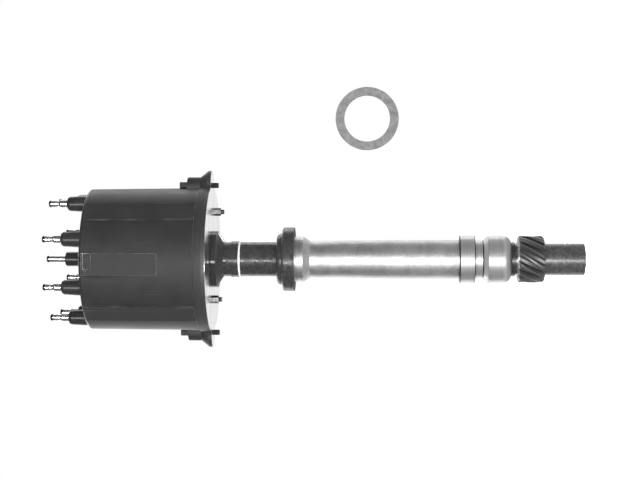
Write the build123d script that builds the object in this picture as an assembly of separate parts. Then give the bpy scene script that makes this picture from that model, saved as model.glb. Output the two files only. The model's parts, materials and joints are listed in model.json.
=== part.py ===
from build123d import *
import math
import os

# An ignition distributor for an eight-cylinder engine. A cast housing with a long stem carries
# a shaft with a rotor at its top and a helical gear at its foot. A toothed pickup and a small
# module time the spark, and a tall cap leads it from the coil post to eight plug posts.
# Sizes are millimetres and degrees. The origin is the middle of the underside of the collar,
# which seats on the engine, and +Z runs up the shaft towards the cap.

# Shaft, bushes and the end play between the housing and the washers
shaft_radius = 6.25
shaft_below_hub = 1.0
shaft_end_chamfer = 0.8
bush_clearance = 0.02
bush_wall = 1.8
upper_bush_length = 22.0
lower_bush_length = 32.0
core_relief = 0.5
end_play = 0.15
felt_height = 3.0
felt_clearance = 0.15
felt_cap_height = 1.5

# Stem of the housing, from the collar's seat down to the nose
pilot_radius = 15.8
pilot_length = 6.3
pilot_cone = 4.6
stem_top_radius = 12.67
stem_low_radius = 13.4
stem_taper = 62.1
stem_length = 114.8
land_radius = 16.25
upper_land = 10.5
groove_radius = 12.95
groove_width = 5.6
groove_slope = 3.5
lower_land = 16.1
nose_fillet = 5.4
oil_hole_radius = 1.5

# Collar, neck and head of the housing
collar_radius = 22.2
collar_height = 8.05
collar_fillet = 1.6
collar_boss_radius = 17.9
collar_boss_height = 4.2
collar_boss_fillet = 3.2
neck_radius = 11.9
neck_length = 25.35
band_radius = 12.5
band_height = 6.7
band_line_radius = 12.15
band_line_height = 1.3
upper_neck = 9.1
flare_height = 3.9
head_step = 1.9
head_width = 7.2
head_height = 4.1
head_fillet = 0.6
rib_thickness = 4.0
rib_height = 6.2
rib_root = 1.0
hub_wall = 4.43

# Base plate with its two ears
plate_thickness = 2.5
plate_overhang = 0.4
ear_radius = 10.2
ear_blend = 6.0
lip_width = 1.6
lip_height = 2.6
lip_clearance = 0.2
hub_hole_clearance = 0.1
plate_screw_count = 3
plate_screw_radius = 1.6
plate_screw_head = 3.1
plate_screw_depth = 3.5

# Cap
cap_height = 83.2
cap_room = 0.78
cap_draft = 0.7
cap_wall = 3.2
cap_deck = 5.0
cap_shoulder = 2.0
cap_rim_step = 0.7
cap_rim_height = 5.9
cap_inner_fillet = 3.0
pad_width = 14.8
pad_proud = 0.4
short_pad_drop = 53.2
tab_width = 10.9
tab_offset = 2.0
tab_height = 5.6
tab_drop = 3.4
tab_raise = 0.9
pip_radius = 1.0
pip_offset = -5.4

# Cap ears and their captive screws
cap_screw_offset = 1.9
cap_screw_gap = 0.5
cap_screw_radius = 1.8
cap_screw_play = 0.2
cap_screw_tip = 4.4
cap_ear_radius = 5.8
cap_ear_height = 14.8
cap_ear_foot = 5.5
cap_ear_fillet = 1.0
screw_head_height = 5.4
screw_head_radius = 2.4

# Spark plug posts and the coil post
post_count = 8
post_edge = 6.3
tower_top_radius = 4.9
tower_base_radius = 5.6
tower_height = 13.2
tower_fillet = 2.6
coil_tower_radius = 5.07
coil_tower_height = 18.1
coil_tower_fillet = 1.2
terminal_bulge_radius = 2.8
terminal_bulge_height = 4.6
terminal_bulge_fillet = 0.6
terminal_waist_radius = 2.05
terminal_waist_length = 1.2
terminal_slope = 1.1
terminal_fillet = 1.0
terminal_tip_radius = 2.35
terminal_length = 12.8
terminal_shank_radius = 1.5
coil_terminal_length = 13.5
coil_terminal_fillet = 0.8
post_boss_radius = 4.2
post_boss_drop = 7.0
electrode_radius = 2.3
electrode_overlap = 1.6

# Carbon button and its spring in the middle of the cap
button_radius = 2.4
button_length = 9.0
button_clearance = 0.1
button_rest_gap = 0.1
button_reach = 3.9
button_fillet = 0.5
button_boss_radius = 5.6
button_boss_drop = 5.2
brush_bore_depth = 19.0
brush_wire = 0.45
brush_spring_radius = 1.7
brush_spring_turns = 5

# Rotor and the plate that carries it
rotor_plate_thickness = 2.0
rotor_hub_wall = 3.25
rotor_hub_height = 10.0
rotor_flange = 7.0
rotor_base_height = 4.0
rotor_drum_radius = 17.0
rotor_draft = 2.5
rotor_fillet = 1.0
rotor_height = 26.0
rotor_wall = 2.4
rotor_arm_width = 12.0
rotor_arm_depth = 8.0
rotor_arm_setback = 3.5
rotor_weight_inset = 1.0
rotor_weight_height = 14.0
rotor_screw_radius = 1.6
rotor_screw_head = 2.9
rotor_screw_head_height = 2.0
blade_thickness = 1.6
blade_width = 7.0
blade_tip_width = 13.0
blade_tip_length = 6.0
blade_tail = 12.0
spark_gap = 0.7
contact_thickness = 0.4
contact_width = 5.0
contact_rise = 3.4
contact_foot = 5.0
contact_slope = 9.0
contact_flat = 4.0

# Pickup round the hub and the toothed core on the shaft
pickup_plate_edge = 1.0
pickup_plate_thickness = 1.5
pickup_plate_clearance = 0.1
pickup_screw_places = ((32.3, 19.0), (-28.4, 0.5))
pickup_lug_radius = 4.4
pickup_screw_radius = 1.6
pickup_screw_head = 3.0
pickup_screw_head_height = 2.2
pickup_screw_tip = 6.2
pickup_nut_radius = 2.8
pickup_nut_height = 3.8
clip_groove_depth = 0.8
clip_width = 2.4
clip_height = 0.9
clip_gap_width = 12.0
clip_lift = 0.3
coil_core_gap = 0.7
coil_width = 3.6
coil_flange = 0.9
coil_gap = 0.2
coil_side_gap = 0.6
magnet_width = 4.6
magnet_height = 5.2
lead_notch_width = 8.0
pole_thickness = 2.0
pole_overlap = 1.4
pole_tooth_width = 3.0
core_hub_wall = 2.75
core_step = 1.5
core_tooth_depth = 4.0
core_tooth_width = 3.2
core_gap = 0.4
core_clearance = 0.7
core_tooth_height = 3.0
core_height = 10.0

# Module on the base plate, with its socket under the plate
module_length = 34.0
module_width = 12.5
module_height = 9.0
module_seat = 3.0
module_pocket = 1.0
module_fillet = 2.0
module_gap = 3.0
module_screw_edge = 3.5
module_screw_radius = 1.5
module_screw_head = 2.7
module_screw_head_height = 1.9
socket_length = 17.0
socket_width = 9.0
socket_height = 15.0
socket_wall = 1.2
socket_depth = 13.0
socket_clearance = 0.1
pin_count = 4
pin_spacing = 3.4
pin_width = 1.4
pin_thickness = 0.6
pin_length = 6.0
lead_radius = 0.8
lead_spacing = 3.2
lead_rise = 2.2

# Helical gear, washers and the roll pin
gear_teeth = 13
gear_bore_gap = 0.1
gear_tooth_depth = 3.95
gear_width = 18.2
gear_helix = 33.0
gear_chamfer = 1.4
gear_hub_step = 1.1
gear_hub_fillet = 0.8
gear_hub_length = 27.9
gear_upper_hub = 1.9
tooth_root_share = 0.62
tooth_pitch_share = 0.44
tooth_tip_share = 0.20
gear_dimple_radius = 1.5
gear_dimple_rise = 4.2
gear_dimple_offset = -7.2
pin_radius = 2.38
pin_bore_radius = 1.4
pin_slit = 0.8
pin_rise = 13.0
shim_step = 0.5
shim_thickness = 0.4
shim_count = 2
thrust_step = 0.9
thrust_thickness = 1.6
drive_slot_width = 4.9
drive_slot_depth = 8.0

# Gasket that lies beside the distributor, level with the rim of the base plate
gasket_clearance = 0.3
gasket_width = 6.4
gasket_thickness = 0.8
gasket_place = (98.7, -50.0)

# Levels along the shaft, from the seat down
pilot_end = -pilot_length
cone_end = pilot_end - pilot_cone
taper_end = cone_end - stem_taper
stem_end = -stem_length
groove_top = stem_end - upper_land
groove_end = groove_top - groove_width
lower_land_top = groove_end - groove_slope
nose_end = lower_land_top - lower_land
shims_top = nose_end - end_play
thrust_top = shims_top - shim_count * shim_thickness
gear_hub_top = thrust_top - thrust_thickness
teeth_top = gear_hub_top - gear_upper_hub
teeth_end = teeth_top - gear_width
gear_end = teeth_end - gear_hub_length
shaft_end = gear_end - shaft_below_hub

# Levels along the shaft, from the seat up
collar_top = collar_height
collar_boss_top = collar_top + collar_boss_height
band_bottom = collar_boss_top + neck_length
band_top = band_bottom + band_height
head_bottom = band_top + upper_neck
head_top = head_bottom + head_height
plate_top = head_top + plate_thickness
cap_rim_top = plate_top + cap_rim_height
deck_top = plate_top + cap_height
deck_inside = deck_top - cap_deck
tower_top = deck_top + tower_height
coil_tower_top = deck_top + coil_tower_height
post_boss_bottom = deck_inside - post_boss_drop

# The rotor hangs its levels from the cap, so that its contact meets the carbon button
brush_bore_bottom = deck_inside - button_boss_drop
brush_bore_top = brush_bore_bottom + brush_bore_depth
button_bottom = brush_bore_bottom - button_reach
contact_top = button_bottom - button_rest_gap
blade_top = contact_top - contact_rise
blade_bottom = blade_top - blade_thickness
rotor_seat = blade_bottom - rotor_height
rotor_base_top = rotor_seat + rotor_base_height
electrode_bottom = blade_bottom - electrode_overlap

# The toothed core lines up with the pole piece, and the hub ends just below it
pickup_plate_top = plate_top + pickup_plate_thickness
clip_bottom = pickup_plate_top + clip_lift
lead_level = pickup_plate_top + lead_rise
magnet_top = pickup_plate_top + magnet_height
pole_top = magnet_top + pole_thickness
core_bottom = (magnet_top + pole_top - core_tooth_height) / 2
hub_top = core_bottom - core_clearance
felt_bottom = hub_top - felt_cap_height - felt_height

# Radii that follow from the shaft
bush_inner_radius = shaft_radius + bush_clearance
bush_outer_radius = bush_inner_radius + bush_wall
core_radius = bush_outer_radius + core_relief
hub_radius = bush_outer_radius + hub_wall
head_radius = hub_radius + head_width
flare_radius = head_radius - head_step
plate_screw_circle = (hub_radius + head_radius) / 2
clip_groove_radius = hub_radius - clip_groove_depth

# Radii of the pickup, from the core outwards to the module
core_hub_radius = shaft_radius + core_hub_wall
core_root_radius = core_hub_radius + core_step
core_tip_radius = core_root_radius + core_tooth_depth
pole_tooth_reach = core_tip_radius + core_gap
coil_inner_radius = core_tip_radius + coil_core_gap
coil_outer_radius = coil_inner_radius + coil_width
magnet_inner_radius = coil_outer_radius + coil_side_gap
magnet_outer_radius = magnet_inner_radius + magnet_width
pole_inner_radius = magnet_inner_radius - pole_overlap
pickup_plate_radius = magnet_outer_radius + pickup_plate_edge
module_reach = pickup_plate_radius + module_gap
module_middle = module_reach + module_width / 2
module_screw_spacing = module_length - 2 * module_screw_edge

# The plate's lip clears the corners of the module, and the cap fits round the lip
lip_inner_radius = math.hypot(module_length / 2, module_reach + module_width) + cap_room
lip_outer_radius = lip_inner_radius + lip_width
cap_inner_low = lip_outer_radius + lip_clearance
cap_low_radius = cap_inner_low + cap_wall
cap_top_radius = cap_low_radius - cap_draft
cap_inner_top = cap_top_radius - cap_wall
cap_rim_radius = cap_low_radius + cap_rim_step
plate_radius = cap_rim_radius + plate_overhang
pad_face = cap_low_radius + pad_proud
tab_face = pad_face - cap_draft
cap_screw_reach = cap_low_radius + cap_screw_offset
button_bore_radius = button_radius + button_clearance

# The posts stand round the deck, and the rotor's blade ends just inside their electrodes
post_circle = cap_top_radius - post_edge
first_post_angle = 180 / post_count
rotor_tip_radius = post_circle - electrode_radius - spark_gap
rotor_hub_radius = shaft_radius + rotor_hub_wall
rotor_drum_top = rotor_drum_radius - rotor_draft
rotor_base_radius = rotor_drum_radius + rotor_flange
rotor_screw_circle = (rotor_drum_radius + rotor_base_radius) / 2
rotor_weight_reach = rotor_base_radius - rotor_weight_inset

# The gear passes through the engine's bore with the lands, and the gasket slips over them
gear_tip_radius = land_radius - gear_bore_gap
gear_root_radius = gear_tip_radius - gear_tooth_depth
gear_hub_radius = gear_root_radius - gear_hub_step
shim_radius = gear_hub_radius + shim_step
thrust_radius = gear_hub_radius + thrust_step
gasket_inner_radius = land_radius + gasket_clearance
gasket_outer_radius = gasket_inner_radius + gasket_width

post_places = PolarLocations(post_circle, post_count, first_post_angle)
plate_screw_places = PolarLocations(plate_screw_circle, plate_screw_count, 90)


# A solid turned about the shaft axis, from corners of radius, height and any fillet there.
def turned(*corners):
    points = [(corner[0], 0, corner[1]) for corner in corners]
    fillets = [corner[2] if len(corner) == 3 else 0 for corner in corners]
    outline = FilletPolyline(*points, radius=fillets, close=True)
    return revolve(make_face(outline), Axis.Z)


# A flat outline raised from one level to another.
def raised(outline, bottom, top):
    return extrude(Pos(0, 0, bottom) * outline, amount=top - bottom)


def ring(outer, inner, bottom, top):
    return raised(Circle(outer) - Circle(inner), bottom, top)


# A disc with a rounded ear at each cap screw.
def eared_outline(radius):
    outline = Circle(radius)
    for side in (-1, 1):
        outline += Pos(side * cap_screw_reach, 0) * Circle(ear_radius)
    corners = [corner for corner in outline.vertices() if abs(corner.Y) > 1]
    return fillet(corners, ear_blend)


# A round-headed screw on the Z axis: its head stands on seat and its shank ends at tip.
def headed_screw(shank, head, head_height, seat, tip):
    return turned(
        (0, tip),
        (shank, tip),
        (shank, seat),
        (head, seat),
        (head, seat + head_height, head_height / 2),
        (0, seat + head_height),
    )


def make_housing():
    casting = turned(
        (bush_outer_radius, nose_end),
        (land_radius, nose_end, nose_fillet),
        (land_radius, lower_land_top),
        (groove_radius, groove_end),
        (groove_radius, groove_top),
        (land_radius, groove_top),
        (land_radius, stem_end),
        (stem_low_radius, stem_end),
        (stem_low_radius, taper_end),
        (stem_top_radius, cone_end),
        (pilot_radius, pilot_end),
        (pilot_radius, 0),
        (collar_radius, 0),
        (collar_radius, collar_top, collar_fillet),
        (collar_boss_radius, collar_top),
        (collar_boss_radius, collar_boss_top, collar_boss_fillet),
        (neck_radius, collar_boss_top),
        (neck_radius, band_bottom),
        (band_line_radius, band_bottom),
        (band_line_radius, band_bottom + band_line_height),
        (band_radius, band_bottom + band_line_height),
        (band_radius, band_top),
        (neck_radius, band_top),
        (neck_radius, head_bottom - flare_height),
        (flare_radius, head_bottom),
        (head_radius, head_bottom, head_fillet),
        (head_radius, head_top, head_fillet),
        (hub_radius, head_top),
        (hub_radius, clip_bottom),
        (clip_groove_radius, clip_bottom),
        (clip_groove_radius, clip_bottom + clip_height),
        (hub_radius, clip_bottom + clip_height),
        (hub_radius, hub_top),
        (bush_outer_radius, hub_top),
        (bush_outer_radius, felt_bottom - upper_bush_length),
        (core_radius, felt_bottom - upper_bush_length),
        (core_radius, nose_end + lower_bush_length),
        (bush_outer_radius, nose_end + lower_bush_length),
    )
    gusset = Polyline(
        (core_radius + rib_root, 0, head_bottom),
        (head_radius - head_fillet, 0, head_bottom),
        (core_radius + rib_root, 0, head_bottom - rib_height),
        close=True,
    )
    casting += extrude(make_face(gusset), amount=rib_thickness / 2, both=True)
    casting -= plate_screw_places * raised(
        Circle(plate_screw_radius), head_top - plate_screw_depth, head_top
    )
    oil_level = (groove_top + groove_end) / 2
    oil_hole = Cylinder(oil_hole_radius, 2 * land_radius)
    casting -= Pos(land_radius, 0, oil_level) * Rot(0, 90, 0) * oil_hole
    return casting


def make_upper_bushing():
    bottom = felt_bottom - upper_bush_length
    return ring(bush_outer_radius, bush_inner_radius, bottom, felt_bottom)


def make_lower_bushing():
    return ring(bush_outer_radius, bush_inner_radius, nose_end, nose_end + lower_bush_length)


def make_oil_felt():
    top = felt_bottom + felt_height
    return ring(bush_outer_radius, shaft_radius + felt_clearance, felt_bottom, top)


def make_felt_cap():
    return turned(
        (shaft_radius + 2 * felt_clearance, hub_top - felt_cap_height),
        (bush_outer_radius, hub_top - felt_cap_height),
        (bush_outer_radius, hub_top),
        (shaft_radius + 2 * felt_clearance, hub_top, felt_cap_height / 2),
    )


# The head sinks flush into the plate, so the same cone cuts its seat.
def plate_screw():
    cone = plate_screw_head - plate_screw_radius
    return turned(
        (0, head_top - plate_screw_depth),
        (plate_screw_radius, head_top - plate_screw_depth),
        (plate_screw_radius, plate_top - cone),
        (plate_screw_head, plate_top),
        (0, plate_top),
    )


def make_base_plate_screws():
    return Compound(plate_screw_places * plate_screw())


def module_screw_places():
    return [Pos(side * module_screw_spacing / 2, module_middle, 0) for side in (-1, 1)]


def socket_outline(grow):
    outline = Rectangle(socket_length + 2 * grow, socket_width + 2 * grow)
    return Pos(0, module_middle, 0) * outline


def make_base_plate():
    plate = raised(eared_outline(plate_radius), head_top, plate_top)
    plate += turned(
        (lip_inner_radius, plate_top),
        (lip_outer_radius, plate_top),
        (lip_outer_radius, plate_top + lip_height, lip_width / 3),
        (lip_inner_radius, plate_top + lip_height, lip_width / 3),
    )
    plate -= raised(Circle(hub_radius + hub_hole_clearance), head_top, plate_top)
    plate -= plate_screw_places * plate_screw()
    for side in (-1, 1):
        hole = raised(Circle(cap_screw_radius + cap_screw_play), head_top, plate_top)
        plate -= Pos(side * cap_screw_reach, 0, 0) * hole
    for place in pickup_screw_places:
        plate -= Pos(*place) * raised(Circle(pickup_screw_radius), head_top, plate_top)
    for place in module_screw_places():
        plate -= place * raised(Circle(module_screw_radius), head_top, plate_top)
    plate -= raised(socket_outline(socket_clearance), head_top, plate_top)
    return plate


def make_pickup_plate():
    outline = Circle(pickup_plate_radius)
    for x, y in pickup_screw_places:
        reach = math.hypot(x, y)
        arm = Pos(reach / 2, 0) * Rectangle(reach, 2 * pickup_lug_radius)
        outline += Rot(0, 0, math.degrees(math.atan2(y, x))) * arm
        outline += Pos(x, y) * Circle(pickup_lug_radius)
    outline -= Circle(hub_radius + pickup_plate_clearance)
    for place in pickup_screw_places:
        outline -= Pos(*place) * Circle(pickup_screw_radius)
    return raised(outline, plate_top, pickup_plate_top)


def make_pickup_screws():
    screw = headed_screw(
        pickup_screw_radius,
        pickup_screw_head,
        pickup_screw_head_height,
        pickup_plate_top,
        head_top - pickup_screw_tip,
    )
    return Compound([Pos(*place) * screw for place in pickup_screw_places])


def make_pickup_nuts():
    nut = RegularPolygon(pickup_nut_radius, 6) - Circle(pickup_screw_radius)
    nut = raised(nut, head_top - pickup_nut_height, head_top)
    return Compound([Pos(*place) * nut for place in pickup_screw_places])


# A flat open ring that snaps into the groove round the hub and keeps the pickup down.
def make_pickup_clip():
    outline = Circle(clip_groove_radius + clip_width) - Circle(clip_groove_radius)
    outline -= Pos(0, -clip_groove_radius) * Rectangle(clip_gap_width, 2 * clip_width)
    return raised(outline, clip_bottom, clip_bottom + clip_height)


def make_pickup_magnet():
    outline = Circle(magnet_outer_radius) - Circle(magnet_inner_radius)
    outline -= Pos(0, magnet_outer_radius) * Rectangle(lead_notch_width, magnet_outer_radius)
    return raised(outline, pickup_plate_top, magnet_top)


# The winding on its bobbin, with a flange above and below.
def make_pickup_coil():
    bottom = pickup_plate_top
    top = magnet_top - coil_gap
    winding_radius = coil_outer_radius - coil_flange / 2
    return turned(
        (coil_inner_radius, bottom),
        (coil_outer_radius, bottom),
        (coil_outer_radius, bottom + coil_flange),
        (winding_radius, bottom + coil_flange),
        (winding_radius, top - coil_flange),
        (coil_outer_radius, top - coil_flange),
        (coil_outer_radius, top),
        (coil_inner_radius, top),
    )


def make_pole_piece():
    outline = Circle(magnet_outer_radius) - Circle(pole_inner_radius)
    tooth_length = magnet_inner_radius - pole_tooth_reach
    tooth = Pos(pole_tooth_reach + tooth_length / 2, 0) * Rectangle(tooth_length, pole_tooth_width)
    for index in range(post_count):
        outline += Rot(0, 0, first_post_angle + index * 360 / post_count) * tooth
    return raised(outline, magnet_top, pole_top)


def make_pickup_leads():
    start = coil_outer_radius - coil_flange / 2
    length = module_reach - start
    lead = Rot(90, 0, 0) * Cylinder(lead_radius, length)
    middle = start + length / 2
    return Compound([Pos(side * lead_spacing / 2, middle, lead_level) * lead for side in (-1, 1)])


def make_ignition_module():
    body = raised(Rectangle(module_length, module_width), plate_top, plate_top + module_height)
    body = Pos(0, module_middle, 0) * body
    body = fillet(body.edges().filter_by(Axis.Z), module_fillet)
    body = fillet(body.faces().sort_by(Axis.Z)[-1].edges(), module_fillet / 2)
    seat = plate_top + module_seat
    pocket = Circle(module_screw_head + module_pocket)
    for place in module_screw_places():
        body -= place * raised(pocket, seat, plate_top + module_height)
        body -= place * raised(Circle(module_screw_radius), plate_top, seat)
    return body


def make_module_screws():
    seat = plate_top + module_seat
    screw = headed_screw(
        module_screw_radius, module_screw_head, module_screw_head_height, seat, head_top
    )
    return Compound([place * screw for place in module_screw_places()])


# A socket that hangs from the module through the base plate, open downwards for a plug.
def make_module_socket():
    bottom = plate_top - socket_height
    body = raised(socket_outline(0), bottom, plate_top)
    return body - raised(socket_outline(-socket_wall), bottom, bottom + socket_depth)


def make_socket_pins():
    roof = plate_top - socket_height + socket_depth
    pin = raised(Rectangle(pin_width, pin_thickness), roof - pin_length, roof)
    first = -(pin_count - 1) * pin_spacing / 2
    return Compound(
        [Pos(first + index * pin_spacing, module_middle, 0) * pin for index in range(pin_count)]
    )


def make_distributor_cap():
    shell = turned(
        (0, plate_top),
        (cap_rim_radius, plate_top),
        (cap_rim_radius, cap_rim_top, plate_overhang),
        (cap_low_radius, cap_rim_top),
        (cap_top_radius, deck_top, cap_shoulder),
        (0, deck_top),
    )
    for angle in (45, 90, 135, 225, 270, 315):
        shell += Rot(0, 0, angle) * cap_pad(angle % 180 == 90)
    tab = Box(tab_width, 2 * tab_raise, tab_height)
    shell += Pos(tab_offset, -tab_face, deck_top - tab_drop - tab_height / 2) * tab
    pip = Rot(90, 0, 0) * Cylinder(pip_radius, 2 * tab_raise)
    shell += Pos(pip_offset, -tab_face, deck_top - tab_drop - pip_radius) * pip
    for side in (-1, 1):
        shell += Pos(side * cap_screw_reach, 0, 0) * cap_ear()
        web_length = cap_screw_reach - cap_inner_top
        web = Pos(side * (cap_screw_reach - web_length / 2), 0)
        web *= Rectangle(web_length, 2 * cap_ear_radius)
        shell += raised(web, plate_top, plate_top + cap_ear_height)
    shell += post_places * plug_tower()
    shell += turned(
        (0, deck_inside),
        (coil_tower_radius, deck_inside),
        (coil_tower_radius, coil_tower_top, coil_tower_fillet),
        (0, coil_tower_top),
    )
    shell -= turned(
        (0, plate_top),
        (cap_inner_low, plate_top),
        (cap_inner_top, deck_inside, cap_inner_fillet),
        (0, deck_inside),
    )
    shell += post_places * raised(Circle(post_boss_radius), post_boss_bottom, deck_inside)
    shell += raised(Circle(button_boss_radius), brush_bore_bottom, deck_inside)
    shell -= raised(Circle(button_bore_radius), brush_bore_bottom, brush_bore_top)
    shell -= raised(Circle(terminal_shank_radius), brush_bore_top, coil_tower_top)
    shell -= post_places * raised(Circle(terminal_shank_radius), post_boss_bottom, tower_top)
    ear_top = plate_top + cap_ear_height
    for side in (-1, 1):
        hole = raised(Circle(cap_screw_radius + cap_screw_play), plate_top, ear_top)
        channel = raised(Circle(screw_head_radius + cap_screw_gap), ear_top, deck_top)
        shell -= Pos(side * cap_screw_reach, 0, 0) * (hole + channel)
    return shell


# A flat pad that leans with the wall of the cap, from below its shoulder down to its foot.
def cap_pad(short):
    top = deck_top - cap_shoulder
    bottom = deck_top - short_pad_drop if short else cap_rim_top
    lean = cap_draft / (deck_top - cap_rim_top)
    side = Polyline(
        (cap_inner_low, 0, bottom),
        (pad_face - lean * (bottom - cap_rim_top), 0, bottom),
        (pad_face - lean * (top - cap_rim_top), 0, top),
        (cap_inner_low, 0, top),
        close=True,
    )
    return extrude(make_face(side), amount=pad_width / 2, both=True)


# A tapered tower round each plug terminal, rounded at its top.
def plug_tower():
    return turned(
        (0, deck_inside),
        (tower_base_radius, deck_inside),
        (tower_base_radius, deck_top),
        (tower_top_radius, tower_top, tower_fillet),
        (0, tower_top),
    )


# An upright boss on a spreading foot, which takes one cap screw.
def cap_ear():
    return turned(
        (0, plate_top),
        (ear_radius, plate_top),
        (cap_ear_radius, plate_top + cap_ear_foot),
        (cap_ear_radius, plate_top + cap_ear_height, cap_ear_fillet),
        (0, plate_top + cap_ear_height),
    )


def make_plug_terminals():
    bulge_top = tower_top + terminal_bulge_height
    waist_top = bulge_top + terminal_slope + terminal_waist_length
    tip = tower_top + terminal_length
    terminal = turned(
        (0, electrode_bottom),
        (electrode_radius, electrode_bottom),
        (electrode_radius, post_boss_bottom),
        (terminal_shank_radius, post_boss_bottom),
        (terminal_shank_radius, tower_top),
        (terminal_bulge_radius, tower_top),
        (terminal_bulge_radius, bulge_top, terminal_bulge_fillet),
        (terminal_waist_radius, bulge_top + terminal_slope),
        (terminal_waist_radius, waist_top),
        (terminal_tip_radius, waist_top + terminal_slope),
        (terminal_tip_radius, tip, terminal_fillet),
        (0, tip),
    )
    return Compound(post_places * terminal)


def make_coil_terminal():
    tip = coil_tower_top + coil_terminal_length
    return turned(
        (0, brush_bore_top),
        (terminal_shank_radius, brush_bore_top),
        (terminal_shank_radius, coil_tower_top),
        (terminal_tip_radius, coil_tower_top),
        (terminal_tip_radius, tip, coil_terminal_fillet),
        (0, tip),
    )


def make_cap_screws():
    seat = plate_top + cap_ear_height
    shank = raised(Circle(cap_screw_radius), head_top - cap_screw_tip, seat)
    head = raised(RegularPolygon(screw_head_radius, 6), seat, seat + screw_head_height)
    screw = shank + head
    return Compound([Pos(side * cap_screw_reach, 0, 0) * screw for side in (-1, 1)])


def make_brush_spring():
    bottom = button_bottom + button_length + brush_wire
    top = brush_bore_top - brush_wire
    path = Helix((top - bottom) / brush_spring_turns, top - bottom, brush_spring_radius)
    section = Plane(path @ 0, z_dir=path % 0) * RegularPolygon(brush_wire / 2, 6)
    return Pos(0, 0, bottom) * sweep(section, path, is_frenet=True)


def make_carbon_button():
    return turned(
        (0, button_bottom),
        (button_radius, button_bottom, button_fillet),
        (button_radius, button_bottom + button_length),
        (0, button_bottom + button_length),
    )


def make_main_shaft():
    shaft = turned(
        (0, shaft_end),
        (shaft_radius, shaft_end, shaft_end_chamfer),
        (shaft_radius, rotor_seat),
        (0, rotor_seat),
    )
    slot = Box(drive_slot_width, 3 * shaft_radius, 2 * drive_slot_depth)
    shaft -= Pos(0, 0, shaft_end) * slot
    return shaft - pin_hole()


# The hole that runs across the gear's hub and the shaft.
def pin_hole():
    hole = Rot(0, 90, 0) * Cylinder(pin_radius, 2 * gear_hub_radius)
    return Pos(0, 0, gear_end + pin_rise) * hole


def make_timer_core():
    outline = Circle(core_root_radius)
    tooth = Pos(core_tip_radius / 2, 0) * Rectangle(core_tip_radius, core_tooth_width)
    for index in range(post_count):
        outline += Rot(0, 0, first_post_angle + index * 360 / post_count) * tooth
    outline &= Circle(core_tip_radius)
    outline -= Circle(shaft_radius)
    star = raised(outline, core_bottom, core_bottom + core_tooth_height)
    return star + ring(core_hub_radius, shaft_radius, core_bottom, core_bottom + core_height)


def rotor_screw_places():
    return [Rot(0, 0, first_post_angle + side * 90) * Pos(rotor_screw_circle, 0, 0)
            for side in (-1, 1)]


def make_rotor_plate():
    bottom = rotor_seat - rotor_plate_thickness
    plate = ring(rotor_base_radius, shaft_radius, bottom, rotor_seat)
    plate += ring(rotor_hub_radius, shaft_radius, rotor_seat - rotor_hub_height, rotor_seat)
    for place in rotor_screw_places():
        plate -= place * raised(Circle(rotor_screw_radius), bottom, rotor_seat)
    return plate


# A moulded drum on a round base, with an arm under the blade and a weight opposite.
def make_rotor():
    drum = turned(
        (0, rotor_seat),
        (rotor_base_radius, rotor_seat),
        (rotor_base_radius, rotor_base_top, rotor_fillet),
        (rotor_drum_radius, rotor_base_top),
        (rotor_drum_top, blade_bottom, rotor_fillet),
        (0, blade_bottom),
    )
    arm_end = rotor_tip_radius - rotor_arm_setback
    arm = Pos(arm_end / 2, 0) * Rectangle(arm_end, rotor_arm_width)
    drum += raised(arm, blade_bottom - rotor_arm_depth, blade_bottom)
    brace = Polyline(
        (rotor_drum_top, 0, blade_bottom - rotor_arm_depth),
        (arm_end, 0, blade_bottom - rotor_arm_depth),
        (rotor_drum_top, 0, rotor_base_top),
        close=True,
    )
    drum += extrude(make_face(brace), amount=rotor_wall / 2, both=True)
    weight = Pos(-rotor_weight_reach / 2, 0) * Rectangle(rotor_weight_reach, rotor_arm_width)
    drum += raised(weight, rotor_base_top, rotor_seat + rotor_weight_height)
    drum -= turned(
        (0, rotor_seat),
        (rotor_drum_radius - rotor_wall, rotor_seat),
        (rotor_drum_top - rotor_wall, blade_bottom - rotor_wall),
        (0, blade_bottom - rotor_wall),
    )
    drum = Rot(0, 0, first_post_angle) * drum
    for place in rotor_screw_places():
        drum -= place * raised(Circle(rotor_screw_radius), rotor_seat, rotor_base_top)
    return drum


def make_rotor_blade():
    strip = Pos((rotor_tip_radius - blade_tail) / 2, 0)
    strip *= Rectangle(rotor_tip_radius + blade_tail, blade_width)
    tip = Pos(rotor_tip_radius - blade_tip_length / 2, 0)
    tip *= Rectangle(blade_tip_length, blade_tip_width)
    outline = (strip + tip) & Circle(rotor_tip_radius)
    return Rot(0, 0, first_post_angle) * raised(outline, blade_bottom, blade_top)


# A spring leaf that stands on the blade and rises to the button above the shaft.
def make_rotor_contact():
    rise = contact_top - contact_thickness
    flat_end = contact_flat / 2
    foot_start = flat_end + contact_slope
    leaf = Polyline(
        (foot_start + contact_foot, 0, blade_top),
        (foot_start, 0, blade_top),
        (flat_end, 0, rise),
        (-flat_end, 0, rise),
        (-flat_end, 0, contact_top),
        (flat_end, 0, contact_top),
        (foot_start, 0, blade_top + contact_thickness),
        (foot_start + contact_foot, 0, blade_top + contact_thickness),
        close=True,
    )
    contact = extrude(make_face(leaf), amount=contact_width / 2, both=True)
    return Rot(0, 0, first_post_angle) * contact


def make_rotor_screws():
    screw = headed_screw(
        rotor_screw_radius,
        rotor_screw_head,
        rotor_screw_head_height,
        rotor_base_top,
        rotor_seat - rotor_plate_thickness,
    )
    return Compound([place * screw for place in rotor_screw_places()])


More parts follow.
